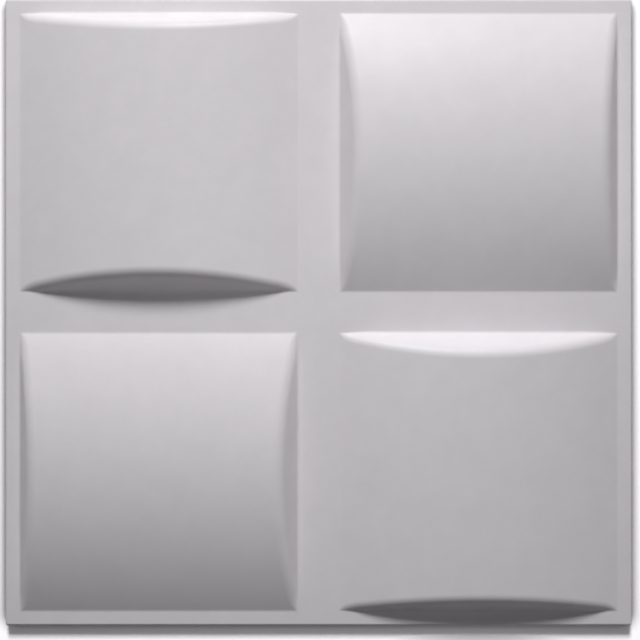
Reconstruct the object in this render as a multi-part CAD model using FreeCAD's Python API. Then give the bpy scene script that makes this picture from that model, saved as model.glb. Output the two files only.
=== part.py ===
# A square relief tile for lining walls, moulded in one piece from a thin sheet.
# Four arched squares stand out of a flat frame, like a basket weave: the arches of one
# diagonal run up and down, those of the other run left to right. Each arch ends in two
# sloping end walls, crescent-shaped, whose rounds fade out at the crescent's tips.
# The sheet is hollow behind the arches, and its edge turns back to the wall as a low rim.
#
# Frame: the tile lies on its back, +Z out of its front, +Y its upper edge, +X its right.
# The origin is the middle of the tile, on the wall plane that the rim stands on.

import FreeCAD, Part
import math
import os
from FreeCAD import Vector

# Driving dimensions, in millimetres and degrees
panel_side = 500.0       # width and height of the tile
frame_margin = 12.0      # flat border outside the arched squares
frame_gap = 33.0         # flat cross between the arched squares
frame_depth = 8.0        # distance of the flat front from the wall
sheet = 1.5              # thickness of the moulded sheet
arch_rise = 20.0         # height of an arch's crown above the flat front
end_wall_angle = 56.0    # slope of the end walls, from the flat front
foot_radius = 3.5        # hollow round at an end wall's foot, below the crown
brow_radius = 11.0       # round at an end wall's top, at the crown
edge_radius = 3.0        # round of the tile's front edges and corners
round_count = 4          # narrow strips that each round of an end wall is made of

# Worked out from the driving dimensions
square_side = (panel_side - 2 * frame_margin - frame_gap) / 2
square_centre = (frame_gap + square_side) / 2
arch_radius = ((square_side / 2) ** 2 + arch_rise ** 2) / (2 * arch_rise)
wall_turn = math.radians(end_wall_angle)

# Centre of each arched square, as steps of square_centre, and the turn of its arch about Z
quarter_turn = 90.0
arches = [((-1, 1), 0), ((1, -1), 0), ((1, 1), quarter_turn), ((-1, -1), quarter_turn)]


def conic_edge(poles, middle_weight):
    """A conic arc from three poles, tangent to the legs between them."""
    curve = Part.BSplineCurve()
    curve.buildFromPolesMultsKnots(poles, (3, 3), (0, 1), False, 2, (1, middle_weight, 1))
    return curve.toShape()


def conic_face(pole_rows, row_weight, column_weight):
    """A patch of three by three poles whose sections are conic arcs both ways."""
    weights = [[a * b for b in (1, column_weight, 1)] for a in (1, row_weight, 1)]
    ends, knots = (3, 3), (0, 1)
    surface = Part.BSplineSurface()
    surface.buildFromPolesMultsKnots(pole_rows, ends, ends, knots, knots, False, False, 2, 2, weights)
    return surface.toShape()


def round_arcs(start, bearing, turn, radius, count):
    """A round as arcs end to end: each its start, the point where its end tangents meet, and its end."""
    step = turn / count
    leg = radius * math.tan(abs(step) / 2)
    arcs = []
    for _ in range(count):
        corner = (start[0] + leg * math.cos(bearing), start[1] + leg * math.sin(bearing))
        bearing += step
        end = (corner[0] + leg * math.cos(bearing), corner[1] + leg * math.sin(bearing))
        arcs.append((start, corner, end))
        start = end
    return arcs


def end_wall_profile(foot, brow):
    """Foot and brow arcs of an end wall under an arch of height 1, as (distance in, height) points."""
    foot_leg = foot * math.tan(wall_turn / 2)
    brow_leg = brow * math.tan(wall_turn / 2)
    foot_start = (-foot_leg, 0)
    top = 1 / math.tan(wall_turn)
    brow_start = (top - brow_leg * math.cos(wall_turn), 1 - brow_leg * math.sin(wall_turn))
    foot_arcs = round_arcs(foot_start, 0, wall_turn, foot, round_count)
    brow_arcs = round_arcs(brow_start, wall_turn, -wall_turn, brow, round_count)
    return foot_arcs, brow_arcs


def arch_faces(inset):
    """Faces of one arched square about Z, arch running along Y, and the wire of its footprint.

    inset is the depth below the front of the sheet: 0 for its front, the sheet for its back.
    """
    radius = arch_radius - inset
    half_chord = math.sqrt(arch_rise * (2 * radius - arch_rise))
    half_length = square_side / 2 - inset * math.tan(wall_turn / 2)
    spring_angle = 2 * math.atan(arch_rise / half_chord)
    base = frame_depth - inset
    across = [-half_chord, 0, half_chord]
    height = [0, half_chord * math.tan(spring_angle), 0]
    arch_weight = math.cos(spring_angle)
    arc_weight = math.cos(wall_turn / round_count / 2)
    foot = (foot_radius + inset) / arch_rise
    brow = (brow_radius - inset) / arch_rise
    foot_arcs, brow_arcs = end_wall_profile(foot, brow)

    def poles(point, end):
        """Poles of the line that a profile point draws along an end wall, tip to tip."""
        run, rise = point
        return [Vector(x, end * (half_length - run * h), base + rise * h) for x, h in zip(across, height)]

    def line(point, end):
        return conic_edge(poles(point, end), arch_weight)

    foot_start, foot_end = foot_arcs[0][0], foot_arcs[-1][-1]
    brow_start, brow_end = brow_arcs[0][0], brow_arcs[-1][-1]
    faces = [Part.makeRuledSurface(line(brow_end, -1), line(brow_end, 1))]
    for end in (-1, 1):
        faces.append(Part.Face(Part.Wire([line(foot_end, end), line(brow_start, end)])))
        for arc in foot_arcs + brow_arcs:
            faces.append(conic_face([poles(point, end) for point in arc], arc_weight, arch_weight))
    tips = [Vector(x, y, base) for x in (-half_chord, half_chord) for y in (-half_length, half_length)]
    creases = [Part.makeLine(tips[0], tips[1]), Part.makeLine(tips[2], tips[3])]
    footprint = Part.Wire(Part.__sortEdges__(creases + [line(foot_start, -1), line(foot_start, 1)]))
    return faces, footprint


def set_in_place(shape, steps, turn):
    placed = shape.copy()
    placed.rotate(Vector(0, 0, 0), Vector(0, 0, 1), turn)
    placed.translate(Vector(steps[0] * square_centre, steps[1] * square_centre, 0))
    return placed


def skin(inset):
    """Faces of one side of the sheet, and the wire where that side meets the wall."""
    side = panel_side - 2 * inset
    slab = Part.makeBox(side, side, frame_depth - inset, Vector(-side / 2, -side / 2, 0))
    round_radius = edge_radius - inset
    if round_radius > 0:
        slab = slab.makeFillet(round_radius, [edge for edge in slab.Edges if edge.BoundBox.ZMax > 0])
    by_height = sorted(slab.Faces, key=lambda face: face.CenterOfMass.z)
    back, front = by_height[0], by_height[-1]
    faces = by_height[1:-1]

    own_faces, footprint = arch_faces(inset)
    wires = [front.OuterWire]
    for steps, turn in arches:
        faces += [set_in_place(face, steps, turn) for face in own_faces]
        wires.append(set_in_place(footprint, steps, turn))
    faces.append(Part.makeFace(wires, "Part::FaceMakerBullseye"))
    return faces, back.OuterWire


def wall_panel():
    """The front and the back of the sheet, joined by the rim's cut edge and closed to a solid."""
    front_faces, front_wire = skin(0)
    back_faces, back_wire = skin(sheet)
    cut_edge = Part.makeFace([front_wire, back_wire], "Part::FaceMakerBullseye")
    skins = Part.Compound(front_faces + back_faces + [cut_edge])
    skins.sewShape()
    solid = Part.Solid(Part.Shell(skins.Faces))
    if solid.Volume < 0:
        solid.reverse()
    return solid


os.makedirs("parts", exist_ok=True)
panel = wall_panel()
panel.exportStep("parts/wall_panel.step")
print("wall_panel: valid", panel.isValid(), "closed", panel.isClosed(), round(panel.Volume), "mm3")
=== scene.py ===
import math
import bpy
import bmesh
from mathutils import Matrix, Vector


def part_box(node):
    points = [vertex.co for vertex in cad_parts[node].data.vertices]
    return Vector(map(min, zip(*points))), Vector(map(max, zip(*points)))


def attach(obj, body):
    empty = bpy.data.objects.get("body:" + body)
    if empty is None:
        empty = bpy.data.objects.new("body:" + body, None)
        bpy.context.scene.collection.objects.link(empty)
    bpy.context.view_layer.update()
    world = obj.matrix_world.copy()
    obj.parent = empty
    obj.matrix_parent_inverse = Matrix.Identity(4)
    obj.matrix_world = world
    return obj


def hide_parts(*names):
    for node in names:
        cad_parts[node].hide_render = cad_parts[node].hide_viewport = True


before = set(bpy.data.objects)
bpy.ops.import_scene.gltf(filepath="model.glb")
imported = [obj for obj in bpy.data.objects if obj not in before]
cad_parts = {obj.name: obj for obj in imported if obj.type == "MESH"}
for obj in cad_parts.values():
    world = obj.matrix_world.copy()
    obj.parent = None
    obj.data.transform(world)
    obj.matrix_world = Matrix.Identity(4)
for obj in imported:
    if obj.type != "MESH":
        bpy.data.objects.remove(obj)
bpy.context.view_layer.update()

panelLow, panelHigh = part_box("wall_panel")
print("frame loaded, panel box", [round(v * 1000, 1) for v in panelHigh - panelLow], "mm")

# the moulded sheet, in metres and degrees; its side and height come from the frame
panel = {
    "side": panelHigh.x - panelLow.x,
    "margin": 0.012,            # flat border outside the arched squares
    "gap": 0.033,               # flat cross between them
    "frontHeight": 0.008,       # flat front above the wall plane
    "sheet": 0.0015,
    "endWallAngle": 56.0,       # slope of the crescent end walls
    "footRadius": 0.0035,       # hollow round at their foot
    "browRadius": 0.011,        # round at their top
    "creaseRadius": 0.007,      # hollow round along an arch's two straight sides
    "edgeRadius": 0.0018,       # front edges and corners, more than the sheet
    "gridSteps": 68,            # mesh steps across and along each arch
    "creaseSteps": 5,
    "wallSteps": 28,            # foot to brow
    "wallEase": 1.25,           # shorter steps at the foot
    "edgeSteps": 5,
    "rimSteps": 2,
    "borderSteps": 4,
    "archEndStep": 0.003,       # first and last step along an arch, as a share of its length
    "borderEndStep": 0.04,      # the same across the flat border
    "leastTurn": 0.0001,        # an end wall that turns less has run out, in radians
    "cornerKey": 1e7,           # corners less than 0.1 micrometres apart are one
}
panel["rise"] = panelHigh.z - panel["frontHeight"]
panel["square"] = (panel["side"] - 2 * panel["margin"] - panel["gap"]) / 2
panel["squareCentre"] = (panel["gap"] + panel["square"]) / 2
panel["archRadius"] = ((panel["square"] / 2) ** 2 + panel["rise"] ** 2) / (2 * panel["rise"])
panel["wallTurn"] = math.radians(panel["endWallAngle"])

# the four squares: left or right, lower or upper, and 0 for an arch up and down, 1 for left to right
archPlaces = [(-1, 1, 0), (1, -1, 0), (1, 1, 1), (-1, -1, 1)]
quarterTurn = math.pi / 2


def steps(count):
    return [i / count for i in range(count + 1)]


# as many steps, but the first and the last are short, to keep a round's shading on the round
def heldSteps(count, short):
    return [0] + [short + (1 - 2 * short) * t for t in steps(count - 2)] + [1]


# section of an end wall below an arch of this height, as (distance in, height):
# hollow round, slope, round; towards the tips the two rounds meet and the slope eases off
def endWallSection(height, foot, brow):
    turn = panel["wallTurn"]
    if height < (foot + brow) * (1 - math.cos(turn)):
        turn = math.acos(1 - height / (foot + brow))
    if turn < panel["leastTurn"]:
        return [(0, 0)] * (panel["wallSteps"] + 1)
    footLeg = foot * math.tan(turn / 2)
    browLeg = brow * math.tan(turn / 2)
    run = height / math.tan(turn)
    slope = max(height / math.sin(turn) - footLeg - browLeg, 0)
    length = (foot + brow) * turn + slope
    points = []
    for t in steps(panel["wallSteps"]):
        s = length * t ** panel["wallEase"]
        if s < foot * turn:
            a = s / foot
            points.append((foot * math.sin(a) - footLeg, foot * (1 - math.cos(a))))
        elif s < foot * turn + slope:
            along = footLeg + s - foot * turn
            points.append((along * math.cos(turn), along * math.sin(turn)))
        else:
            a = (length - s) / brow
            points.append((run + browLeg - brow * math.sin(a), height - brow * (1 - math.cos(a))))
    return points


# section across an arch as (x, height): hollow round, arch, hollow round
def archSection(inset):
    rise = panel["rise"]
    radius = panel["archRadius"] - inset
    hollow = panel["creaseRadius"] + inset
    turn = math.acos((radius - rise + hollow) / (radius + hollow))
    edge = (radius + hollow) * math.sin(turn)
    angles = [turn * t for t in steps(panel["creaseSteps"])]
    side = [(edge - hollow * math.sin(a), hollow * (1 - math.cos(a))) for a in angles]
    archSteps = steps(panel["gridSteps"] - 2 * panel["creaseSteps"])
    angles = [turn * math.sin(math.pi * (t - 0.5)) for t in archSteps[1:-1]]    # closer at the sides
    arch = [(radius * math.sin(a), rise - radius * (1 - math.cos(a))) for a in angles]
    return [(-x, h) for x, h in side] + arch + side[::-1]


# one arched square about the origin, arch along y: rows of points from end wall to end wall
def archRows(inset):
    base = panel["frontHeight"] - inset
    halfLength = panel["square"] / 2 - inset * math.tan(panel["wallTurn"] / 2)
    across = archSection(inset)
    foot = panel["footRadius"] + inset
    brow = panel["browRadius"] - inset
    walls = [(x, endWallSection(h, foot, brow)) for x, h in across]

    def endRow(i, end):
        return [Vector((x, end * (halfLength - wall[i][0]), base + wall[i][1])) for x, wall in walls]

    places = range(panel["wallSteps"] + 1)
    rows = [endRow(i, -1) for i in places]
    low, high = rows[-1], endRow(places[-1], 1)
    for t in heldSteps(panel["gridSteps"], panel["archEndStep"])[1:-1]:
        rows.append([a.lerp(b, t) for a, b in zip(low, high)])
    rows += [endRow(i, 1) for i in reversed(places)]
    return rows


# one skin of the sheet: inset 0 is its front, the sheet's thickness its back
class Skin:
    def __init__(self, mesh, inset):
        self.mesh = mesh
        self.inset = inset
        self.places = {}

    # a corner shared by all faces that meet there
    def corner(self, point):
        key = tuple(round(c * panel["cornerKey"]) for c in point)
        if key not in self.places:
            self.places[key] = self.mesh.verts.new(point)
        return self.places[key]

    # where an end wall has run out, corners fall together: each counts once
    def face(self, points):
        corners = []
        for point in points:
            c = self.corner(point)
            if c not in corners:
                corners.append(c)
        if len(corners) < 3:
            return
        if self.inset:
            corners.reverse()
        self.mesh.faces.new(corners)

    def grid(self, rows):
        for lower, upper in zip(rows, rows[1:]):
            for i in range(len(lower) - 1):
                self.face([lower[i], lower[i + 1], upper[i + 1], upper[i]])


def turned(point, place):
    stepX, stepY, sideways = place
    x, y = (-point.y, point.x) if sideways else (point.x, point.y)
    return Vector((x + stepX * panel["squareCentre"], y + stepY * panel["squareCentre"], point.z))


# the flat border of one quarter, from the arch's footprint out to the quarter's own edges
def quarterBorder(skin, rows, place):
    half = panel["side"] / 2 - max(panel["edgeRadius"], skin.inset)
    flat = panel["frontHeight"] - skin.inset
    lowX, highX = sorted((0, place[0] * half))
    lowY, highY = sorted((0, place[1] * half))
    between = rows[panel["wallSteps"]:len(rows) - panel["wallSteps"]]
    rightSide = [row[-1] for row in between[1:]]
    leftSide = [row[0] for row in between[-2:0:-1]]
    footprint = rows[0] + rightSide + rows[-1][-2::-1] + leftSide
    inner = [turned(point, place) for point in footprint]
    corners = [Vector((lowX, lowY, flat)), Vector((highX, lowY, flat)),
               Vector((highX, highY, flat)), Vector((lowX, highY, flat))]
    sideways = place[2]
    outer = []
    for side in range(4):
        a = corners[(side + sideways) % 4]
        b = corners[(side + sideways + 1) % 4]
        outer += [a.lerp(b, t) for t in steps(panel["gridSteps"])[:-1]]
    rings = []
    for t in heldSteps(panel["borderSteps"], panel["borderEndStep"]):
        rings.append([o.lerp(i, t) for o, i in zip(outer, inner)])
    skin.grid([ring + ring[:1] for ring in rings])


# the rounded edge and the rim that turns back to the wall
def rim(skin):
    radius = max(panel["edgeRadius"] - skin.inset, 0)
    half = panel["side"] / 2 - skin.inset - radius
    top = panel["frontHeight"] - skin.inset
    halfSide = steps(panel["gridSteps"])
    columns = []
    for side in range(4):
        turn = Vector((math.cos(side * quarterTurn), math.sin(side * quarterTurn), 0))
        along = Vector((-turn.y, turn.x, 0))
        for t in [s / 2 for s in halfSide] + [0.5 + s / 2 for s in halfSide[1:]]:
            columns.append((turn * half + along * half * (2 * t - 1), turn))
        for t in steps(panel["edgeSteps"])[1:-1]:
            a = t * quarterTurn
            columns.append((turn * half + along * half, turn * math.cos(a) + along * math.sin(a)))
    columns.append(columns[0])
    rows = []
    for t in steps(panel["edgeSteps"]):
        a = t * quarterTurn
        level = Vector((0, 0, top - radius * (1 - math.cos(a))))
        rows.append([at + out * radius * math.sin(a) + level for at, out in columns])
    for t in steps(panel["rimSteps"])[1:]:
        level = Vector((0, 0, (top - radius) * (1 - t)))
        rows.append([at + out * radius + level for at, out in columns])
    skin.grid(rows[::-1])
    return rows[-1]


def buildPanel():
    mesh = bmesh.new()
    feet = []
    for inset in (0, panel["sheet"]):
        skin = Skin(mesh, inset)
        rows = archRows(inset)
        for place in archPlaces:
            skin.grid([[turned(point, place) for point in row] for row in rows])
            quarterBorder(skin, rows, place)
        feet.append([skin.corner(point) for point in rim(skin)])
    front, back = feet
    for i in range(len(front) - 1):     # the cut edge on the wall plane
        mesh.faces.new([front[i], back[i], back[i + 1], front[i + 1]])
    bmesh.ops.recalc_face_normals(mesh, faces=mesh.faces)
    data = bpy.data.meshes.new("wallPanel")
    mesh.to_mesh(data)
    openEdges = sum(len(edge.link_faces) != 2 for edge in mesh.edges)
    mesh.free()
    print("panel mesh", len(data.polygons), "faces", openEdges, "open edges")
    for polygon in data.polygons:
        polygon.use_smooth = True
    piece = bpy.data.objects.new("wallPanel", data)
    bpy.context.scene.collection.objects.link(piece)
    return piece


def mapRange(nodes, links, value, source, target):
    node = nodes.new("ShaderNodeMapRange")
    node.inputs["From Min"].default_value, node.inputs["From Max"].default_value = source
    node.inputs["To Min"].default_value, node.inputs["To Max"].default_value = target
    links.new(value, node.inputs["Value"])
    return node


# moulded sheet with a satin skin: nearly even off-white, fine grain, faint clouding
sheetLook = {
    "pale": (0.83, 0.799, 0.83, 1),
    "shade": (0.735, 0.707, 0.735, 1),
    "roughness": (0.42, 0.49),
    "specular": 0.25,
    "cloudScale": 42.0,
    "cloudDetail": 5.0,
    "cloudRoughness": 0.72,
    "grainScale": 900.0,
    "grainDepth": 0.00002,
}


def satinSheet():
    material = bpy.data.materials.new("satinSheet")
    material.use_nodes = True
    nodes, links = material.node_tree.nodes, material.node_tree.links
    shader = nodes["Principled BSDF"]
    shader.inputs["Specular IOR Level"].default_value = sheetLook["specular"]
    where = nodes.new("ShaderNodeTexCoord")
    clouds = nodes.new("ShaderNodeTexNoise")
    clouds.inputs["Scale"].default_value = sheetLook["cloudScale"]
    clouds.inputs["Detail"].default_value = sheetLook["cloudDetail"]
    clouds.inputs["Roughness"].default_value = sheetLook["cloudRoughness"]
    links.new(where.outputs["Object"], clouds.inputs["Vector"])
    tint = nodes.new("ShaderNodeMix")
    tint.data_type = "RGBA"
    mixA, mixB, mixResult = 6, 7, 2     # the colour sockets of a mix
    tint.inputs[mixA].default_value = sheetLook["pale"]
    tint.inputs[mixB].default_value = sheetLook["shade"]
    links.new(clouds.outputs["Fac"], tint.inputs[0])
    links.new(tint.outputs[mixResult], shader.inputs["Base Color"])
    polish = mapRange(nodes, links, clouds.outputs["Fac"], (0, 1), sheetLook["roughness"])
    links.new(polish.outputs["Result"], shader.inputs["Roughness"])
    grain = nodes.new("ShaderNodeTexNoise")
    grain.inputs["Scale"].default_value = sheetLook["grainScale"]
    links.new(where.outputs["Object"], grain.inputs["Vector"])
    bump = nodes.new("ShaderNodeBump")
    bump.inputs["Distance"].default_value = sheetLook["grainDepth"]
    links.new(grain.outputs["Fac"], bump.inputs["Height"])
    links.new(bump.outputs["Normal"], shader.inputs["Normal"])
    return material


wallPanel = buildPanel()
wallPanel.data.materials.append(satinSheet())
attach(wallPanel, "root")
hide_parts("wall_panel")
print("panel dressed")


def mathNode(nodes, links, operation, first, second):
    node = nodes.new("ShaderNodeMath")
    node.operation = operation
    links.new(first, node.inputs[0])
    links.new(second, node.inputs[1])
    return node.outputs[0]


# 1 for what the camera sees itself, in a reflection or through glass, 0 for light on its way
def seenDirectly(nodes, links):
    path = nodes.new("ShaderNodeLightPath")
    seen = path.outputs["Is Camera Ray"]
    for name in ("Is Glossy Ray", "Is Transmission Ray"):
        seen = mathNode(nodes, links, "MAXIMUM", seen, path.outputs[name])
    return seen


# white floor with painted shade right beside the tile, darker there the less open it is; its own
# faint glow grows with distance, so that it runs into the white room behind
floorLook = {
    "size": 6.0,
    "drop": 0.0002,             # below the wall plane
    "tint": (1.0, 0.974, 1.0),
    "plain": 0.4,               # how pale it is for the light that it sends back to the tile
    "seen": 1.85,               # how pale it looks
    # painted shade on the floor beside the rim: how far it reaches, from what openness, and how dark
    "paintedShadeReach": 0.011,
    "paintedShadeFrom": 0.7,         # openness right beside the rim, where the painted shade on the floor is darkest
    "paintedShadeLevel": 0.12,       # share of its paleness that the painted shade leaves there
    "glow": (0.1, 1.0),         # beside the tile and far out
    "glowReach": (0.37, 0.8),   # from the tile's middle
}


def paleFloor():
    material = bpy.data.materials.new("paleFloor")
    material.use_nodes = True
    nodes, links = material.node_tree.nodes, material.node_tree.links
    nodes.remove(nodes["Principled BSDF"])
    seen = seenDirectly(nodes, links)
    # painted shade: where the floor is less open, beside the tile's rim, its seen paleness is
    # darkened
    openness = nodes.new("ShaderNodeAmbientOcclusion")
    openness.inputs["Distance"].default_value = floorLook["paintedShadeReach"]
    darkest = floorLook["seen"] * floorLook["paintedShadeLevel"]
    paintedShade = mapRange(nodes, links, openness.outputs["AO"],
                       (floorLook["paintedShadeFrom"], 1), (darkest, floorLook["seen"]))
    level = mapRange(nodes, links, seen, (0, 1), (floorLook["plain"], floorLook["seen"]))
    links.new(paintedShade.outputs["Result"], level.inputs["To Max"])
    tinted = nodes.new("ShaderNodeVectorMath")
    tinted.operation = "SCALE"
    tinted.inputs[0].default_value = floorLook["tint"]
    links.new(level.outputs["Result"], tinted.inputs["Scale"])
    matt = nodes.new("ShaderNodeBsdfDiffuse")
    links.new(tinted.outputs[0], matt.inputs["Color"])

    where = nodes.new("ShaderNodeTexCoord")
    away = nodes.new("ShaderNodeVectorMath")
    away.operation = "LENGTH"
    links.new(where.outputs["Object"], away.inputs[0])
    glow = mapRange(nodes, links, away.outputs["Value"], floorLook["glowReach"], floorLook["glow"])
    glowSeen = mathNode(nodes, links, "MULTIPLY", glow.outputs["Result"], seen)
    shine = nodes.new("ShaderNodeEmission")
    shine.inputs["Color"].default_value = floorLook["tint"] + (1,)
    links.new(glowSeen, shine.inputs["Strength"])

    both = nodes.new("ShaderNodeAddShader")
    links.new(matt.outputs["BSDF"], both.inputs[0])
    links.new(shine.outputs["Emission"], both.inputs[1])
    links.new(both.outputs["Shader"], nodes["Material Output"].inputs["Surface"])
    return material


def buildFloor():
    mesh = bmesh.new()
    bmesh.ops.create_grid(mesh, x_segments=1, y_segments=1, size=floorLook["size"] / 2)
    data = bpy.data.meshes.new("floor")
    mesh.to_mesh(data)
    mesh.free()
    data.materials.append(paleFloor())
    floor = bpy.data.objects.new("floor", data)
    floor.location.z = -floorLook["drop"]
    bpy.context.scene.collection.objects.link(floor)


# a large key lamp beyond the upper edge, weak low ones at both sides and one over the middle
lampPlan = {
    # name: distance from the tile's middle, height angle, bearing from the upper edge, size, power
    "keyLamp": (2.5, 35.0, -3.0, 0.7, 59.2),
    "rightLamp": (2.0, 10.0, 120.0, 1.5, 3.6),
    "leftLamp": (2.0, 12.0, -90.0, 1.0, 1.1),
    "frontLamp": (0.45, 90.0, 0.0, 0.22, 0.21),
}


def addLamps():
    for name, (distance, heightAngle, bearing, size, power) in lampPlan.items():
        lamp = bpy.data.lights.new(name, "AREA")
        lamp.shape = "DISK"
        lamp.size = size
        lamp.energy = power
        up, about = math.radians(heightAngle), math.radians(bearing)
        place = Vector((math.cos(up) * math.sin(about), math.cos(up) * math.cos(about), math.sin(up)))
        holder = bpy.data.objects.new(name, lamp)
        holder.location = place * distance
        holder.rotation_euler = (-place).to_track_quat("-Z", "Y").to_euler()
        holder.visible_camera = False
        bpy.context.scene.collection.objects.link(holder)


# a white room that is seen but sends no light itself
def addRoom():
    world = bpy.data.worlds.new("studio")
    bpy.context.scene.world = world
    world.use_nodes = True
    nodes, links = world.node_tree.nodes, world.node_tree.links
    room = nodes["Background"]
    room.inputs["Color"].default_value = (1, 1, 1, 1)
    links.new(seenDirectly(nodes, links), room.inputs["Strength"])


# straight above the tile, its upper edge to the top of the picture
cameraPlan = {
    "height": 0.68,             # above the flat front
    "frameWidth": 0.5102,       # what the picture takes in at the flat front
    "offset": (0.0011, -0.0062),
    "sensor": 36.0,             # millimetres
    "nearest": 0.01,
}


def addCamera():
    lens = bpy.data.cameras.new("camera")
    lens.sensor_width = cameraPlan["sensor"]
    lens.lens = cameraPlan["sensor"] * cameraPlan["height"] / cameraPlan["frameWidth"]
    lens.clip_start = cameraPlan["nearest"]
    camera = bpy.data.objects.new("camera", lens)
    aside, below = cameraPlan["offset"]
    camera.location = (aside, below, panel["frontHeight"] + cameraPlan["height"])
    bpy.context.scene.collection.objects.link(camera)
    bpy.context.scene.camera = camera


buildFloor()
addLamps()
addRoom()
addCamera()
bpy.context.scene.view_settings.view_transform = "Standard"
print("floor, lamps, room and camera set")
